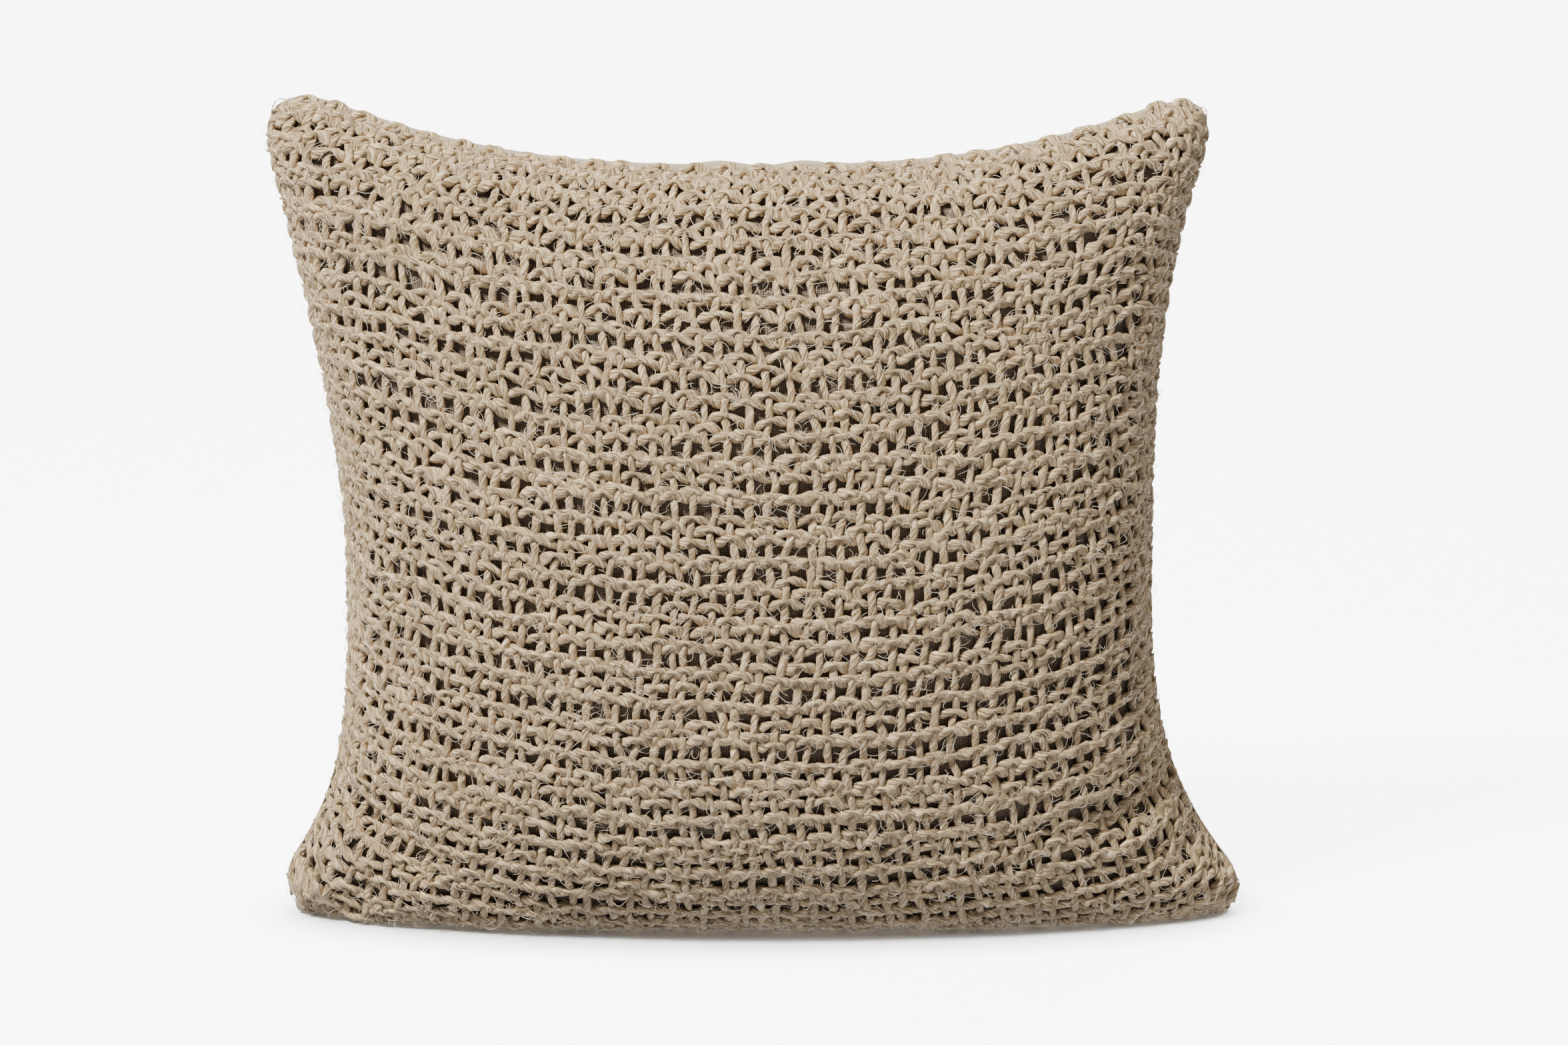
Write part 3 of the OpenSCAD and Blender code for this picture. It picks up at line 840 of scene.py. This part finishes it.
def back_row_at(z_edge, col):
    """The grid row at which each column of the back reaches the height z_edge"""
    heights = back_form[..., 2] / MM
    rows = np.arange(grid_cells + 1)
    c = np.clip(col.astype(int), 0, grid_cells - 1)
    half = grid_cells // 2
    low = [np.interp(z, heights[:half, k], rows[:half]) for z, k in zip(z_edge, c)]
    high = [np.interp(z, heights[:half, k + 1], rows[:half]) for z, k in zip(z_edge, c)]
    return np.array(low) * (1 - (col - c)) + np.array(high) * (col - c)


def back_part(name, side, rows=70, columns=121, hem=3.5, fold=0.32):
    col = np.linspace(0, grid_cells, columns)
    bunched = grid_cells * (1 - np.cos(np.pi * col / grid_cells)) / 2
    col = 0.35 * col + 0.65 * bunched
    x_edge = read_grid(back_form, np.full(columns, 20.0), col)[:, 0] / MM
    edge = back_row_at(zip_z + side * slot_half(x_edge), col)
    seam = np.full(columns, float(grid_cells if side > 0 else 0))
    share = np.linspace(0, 1, rows)[:, None]
    row = edge + (seam - edge) * share ** 1.35
    col_grid = np.broadcast_to(col, row.shape)
    place, out = read_grid(back.form, row, col_grid), read_grid(back.normal, row, col_grid)
    place = place - out * ((0.02 + 1.1 * ease(0.95, 1, share)) * MM)[..., None]
    rise = np.zeros_like(place[0])
    rise[:, 2] = side
    up_cloth = rise - out[0] * (rise * out[0]).sum(-1, keepdims=True)
    up_cloth /= np.linalg.norm(up_cloth, axis=-1, keepdims=True)
    turns = np.linspace(0, np.pi, 7)[1:]
    folded = [place[0] - out[0] * fold * MM * (1 - math.cos(t)) - up_cloth * fold * MM * math.sin(t)
              for t in turns]
    inner = [folded[-1] + up_cloth * reach * MM for reach in (0.3 * hem, 0.65 * hem, hem)]
    points = np.array(inner[::-1] + folded[::-1] + list(place))
    if side < 0:
        points = points[::-1]
    steps = np.linalg.norm(np.diff(points, axis=0), axis=2).cumsum(0) / MM
    v = np.concatenate([np.zeros((1, columns)), steps])
    u = np.broadcast_to(x_edge, v.shape)
    return cloth_sheet(name, points[:, ::-1], 0.28 * MM, back_finish, np.stack([u, v], -1)[:, ::-1])


back_upper = back_part("back_cloth_upper", 1)
back_lower = back_part("back_cloth_lower", -1, rows=36)


# %% The rim where the back turns in under the weave
def seam_rim(name, turn_in=3.2, radius=0.8, rings=560):
    """A rolled edge of the fine linen that runs right round between the front and the back"""
    share = np.linspace(0, 4, rings + 1)[:-1]
    corner, along = share.astype(int), share % 1
    p = np.choose(corner, [along, 1 + 0 * along, 1 - along, 0 * along])
    q = np.choose(corner, [0 * along, along, 1 + 0 * along, 1 - along])
    front_edge, front_out = front.place(p, q)
    back_edge, back_out = back.place(p, q)
    middle, out = (front_edge + back_edge) / 2, front_out + back_out
    out /= np.linalg.norm(out, axis=1, keepdims=True)
    deep = np.array([turn_in, 2.0, 1.5, 1.25, 1.2, 1.5, turn_in])[:, None]
    top_middle = (q == 1) * ease(0.36, 0.46, p) * (1 - ease(0.60, 0.72, p))
    proud = top_middle * (1.6 + 0.5 * np.sin(2 * np.pi * 11 * p))
    deep = deep - proud * np.array([0, 0.5, 1, 1, 1, 0.6, 0])[:, None]
    thick = np.array([-1.1, -1.0, -0.6, 0, 0.4, 0.55, 0.6]) * radius / 0.8
    points = (middle[None] - out[None] * (deep * MM)[..., None]
              + np.array([0, 1, 0]) * (thick * MM)[:, None, None])
    points = np.concatenate([points, points[:, :1]], 1)
    run = np.linalg.norm(np.diff(points[3], axis=0), axis=1).cumsum() / MM
    u = np.broadcast_to(np.concatenate([[0], run]), points.shape[:2])
    v = np.broadcast_to(np.array([0, 1.6, 2.4, 3.0, 3.6, 4.4, 6.0])[:, None], points.shape[:2])
    return cloth_sheet(name, points, 0.2 * MM, back_finish, np.stack([u, v], -1))


rim = seam_rim("seam_edge")

# %% [markdown]
# ## What is inside
# A separate cushion fills the cover: white cotton, front and back sewn together, stuffed with
# polyester fibre. Only its place and its size matter, and both come from the same form.

# %% Insert and filling
def inner_sheet(name, face, depth, thickness, flip=False):
    p, q = shares(73, 73)
    points = face.place(p, q, depth * MM)[0]
    uv = np.stack([p, q], -1) * cloth_size
    if flip:
        points, uv = points[:, ::-1], uv[:, ::-1]
    return cloth_sheet(name, points, thickness * MM, insert_finish, uv)


insert_front = inner_sheet("insert_front_cloth", front, 3.5, 0.3)
insert_back = inner_sheet("insert_back_cloth", back, 3.5, 0.3, flip=True)


def stuffing(name):
    p, q = shares(73, 73)
    halves = [front.place(p, q, 4.4 * MM)[0], back.place(p, q, 4.4 * MM)[0][:, ::-1]]
    piece = grid_object(name, halves)
    work = bmesh.new()
    work.from_mesh(piece.data)
    border = [edge for edge in work.edges if edge.is_boundary]
    bmesh.ops.bridge_loops(work, edges=border)
    work.to_mesh(piece.data)
    work.free()
    finish, tree, shader = new_finish("polyester_fibre_fill", 0.9, sheen=0.4)
    object_place = node(tree, "ShaderNodeTexCoord").outputs["Object"]
    tufts = noise(tree, object_place, 160, 5, 0.7)
    tree.links.new(ramp(tree, tufts, (0.3, (0.72, 0.72, 0.71)), (0.7, (0.92, 0.92, 0.91))),
                   shader.inputs["Base Color"])
    bump(tree, shader, tufts, 1.0, 1.2 * MM)
    piece.data.materials.append(finish)
    piece.data.polygons.foreach_set("use_smooth", np.ones(len(piece.data.polygons), bool))
    print("stuffing: %d faces" % len(piece.data.polygons))
    return piece


filling = stuffing("fibre_stuffing")

# %% [markdown]
# ## Zip, threads and metal
# The zip's tapes, stops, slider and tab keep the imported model's own shapes, and only get their
# finishes: ribbed tape, worn antique brass and cotton thread. All patterns read Object coordinates.

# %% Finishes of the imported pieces
def woven_tape(name, pale_thread, dark_thread):
    finish, tree, shader = new_finish(name, 0.85, sheen=0.1)
    place = node(tree, "ShaderNodeTexCoord").outputs["Object"]
    axes = node(tree, "ShaderNodeSeparateXYZ", {"Vector": place})
    ribs = maths(tree, "SINE", maths(tree, "MULTIPLY", axes.outputs["X"], 2 * math.pi / 0.00055))
    rows = maths(tree, "SINE", maths(tree, "MULTIPLY", axes.outputs["Z"], 2 * math.pi / 0.0008))
    weave = maths(tree, "MULTIPLY_ADD", maths(tree, "MULTIPLY", ribs, rows), 0.5, 0.5)
    tree.links.new(ramp(tree, weave, (0.2, dark_thread), (0.8, pale_thread)),
                   shader.inputs["Base Color"])
    bump(tree, shader, weave, 0.7, 0.12 * MM)
    return finish


def antique_brass(name):
    finish, tree, shader = new_finish(name, 0.38, specular=0.5)
    shader.inputs["Metallic"].default_value = 1
    place = node(tree, "ShaderNodeTexCoord").outputs["Object"]
    tarnish = noise(tree, place, 420, 5, 0.65)
    tree.links.new(ramp(tree, tarnish, (0.35, (0.09, 0.055, 0.028)), (0.6, (0.27, 0.18, 0.085))),
                   shader.inputs["Base Color"])
    tree.links.new(ramp(tree, tarnish, (0.3, (0.6,) * 3), (0.7, (0.3,) * 3)),
                   shader.inputs["Roughness"])
    bump(tree, shader, noise(tree, place, 1500, 3), 0.25, 0.05 * MM)
    return finish


def sewing_thread(name, colour):
    finish, tree, shader = new_finish(name, 0.6, sheen=0.2)
    place = node(tree, "ShaderNodeTexCoord").outputs["Object"]
    ply = node(tree, "ShaderNodeTexWave", {"Vector": place, "Scale": 900.0, "Distortion": 1.0},
               bands_direction="DIAGONAL").outputs["Fac"]
    darker = tuple(0.7 * c for c in colour)
    tree.links.new(ramp(tree, ply, (0.2, darker), (0.8, colour)), shader.inputs["Base Color"])
    bump(tree, shader, ply, 0.5, 0.08 * MM)
    return finish


def refinish(finish, *names):
    for name in names:
        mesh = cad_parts[name].data
        mesh.materials.clear()
        mesh.materials.append(finish)


tape_finish = woven_tape("zip_tape_cloth", (0.50, 0.41, 0.30), (0.30, 0.24, 0.17))
brass = antique_brass("antique_brass")
cover_thread = sewing_thread("natural_thread", (0.66, 0.56, 0.43))
insert_thread = sewing_thread("white_thread", (0.86, 0.85, 0.82))
refinish(tape_finish, "zip_tape_upper", "zip_tape_lower")
refinish(brass, "zip_slider", "zip_pull_tab", "zip_top_stops", "zip_bottom_stop")
refinish(cover_thread, "cover_seam_stitching", "zip_stitching_upper", "zip_stitching_lower")
refinish(insert_thread, "insert_seam_stitching")

# %% [markdown]
# The teeth of such a zip are one nylon thread, wound into a flat coil along the edge of each tape.
# A loop goes round once for each tooth, and the head of every loop is pressed a little flat where
# it would grip its neighbour.

# %% Nylon coils
def nylon(name):
    finish, tree, shader = new_finish(name, 0.35, specular=0.5)
    place = node(tree, "ShaderNodeTexCoord").outputs["Object"]
    cloud = noise(tree, place, 500, 2)
    tree.links.new(ramp(tree, cloud, (0.3, (0.44, 0.36, 0.26)), (0.7, (0.56, 0.47, 0.35))),
                   shader.inputs["Base Color"])
    shader.inputs["Subsurface Weight"].default_value = 0.1
    shader.inputs["Subsurface Scale"].default_value = 0.001
    return finish


nylon_finish = nylon("nylon_coil")
tooth_pitch, wire_radius = 1.27, 0.27
zip_half_a = math.asin(zip_half_l / zip_r)


def on_zip(angle, out, rise):
    """A point of the zip: the angle along it, how far out of its face, how far up its face"""
    radius = zip_r + out * math.cos(zip_tilt) + rise * math.sin(zip_tilt)
    z = zip_z + rise * math.cos(zip_tilt) - out * math.sin(zip_tilt)
    x, y = middle_x - radius * np.sin(angle), zip_axis_y + radius * np.cos(angle)
    return np.stack([x, y, z + 0 * x], -1) * MM


def coil(name, side, steps=14):
    teeth = int(2 * zip_half_a * zip_r / tooth_pitch) - 1
    turns = np.arange(teeth * steps + 1) / steps
    angle = -zip_half_a + (turns + (0.5 if side > 0 else 1.0)) * tooth_pitch / zip_r
    loop = 2 * np.pi * turns
    out = -0.75 + 0.33 * np.sin(loop)
    rise = side * (1.3 - 0.79 * np.cos(loop))
    centre = on_zip(angle, out, rise)[None]
    middle = on_zip(angle, -0.75 + 0 * out, side * 1.3)[None]
    outward_way = centre - middle
    across_way, outward_way = frames_along(centre, outward_way)
    outward_way /= np.linalg.norm(outward_way, axis=2, keepdims=True)
    rings = centre.shape[1]
    radius = np.full((1, rings), wire_radius) * taper(rings, 3)
    return rolled(name, centre, across_way, outward_way, radius, np.ones((1, rings)), 8,
                  nylon_finish)


coil_upper = coil("zip_coil_upper", 1)
coil_lower = coil("zip_coil_lower", -1)

# %% [markdown]
# ## Handing the pieces to the frame
# Each cloth piece rides on the cushion and stands for the plain imported solid that held its place.

# %% Rides and what each piece replaces
def hand_over(piece, slot, *nodes):
    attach(piece, "cushion")
    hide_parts(*nodes)


for piece in cover_pieces:
    hand_over(piece, "open_weave", "woven_front_panel")
hand_over(lining, "lining_cloth", "front_lining")
hand_over(back_upper, "back_cloth", "back_panel_upper")
hand_over(back_lower, "back_cloth", "back_panel_lower")
hand_over(rim, "back_cloth", "back_panel_upper")
hand_over(coil_upper, "zip_coil", "zip_teeth_upper")
hand_over(coil_lower, "zip_coil", "zip_teeth_lower")
hand_over(insert_front, "insert_cloth", "insert_front_cover")
hand_over(insert_back, "insert_cloth", "insert_back_cover")
hand_over(filling, "filling", "fibre_filling")
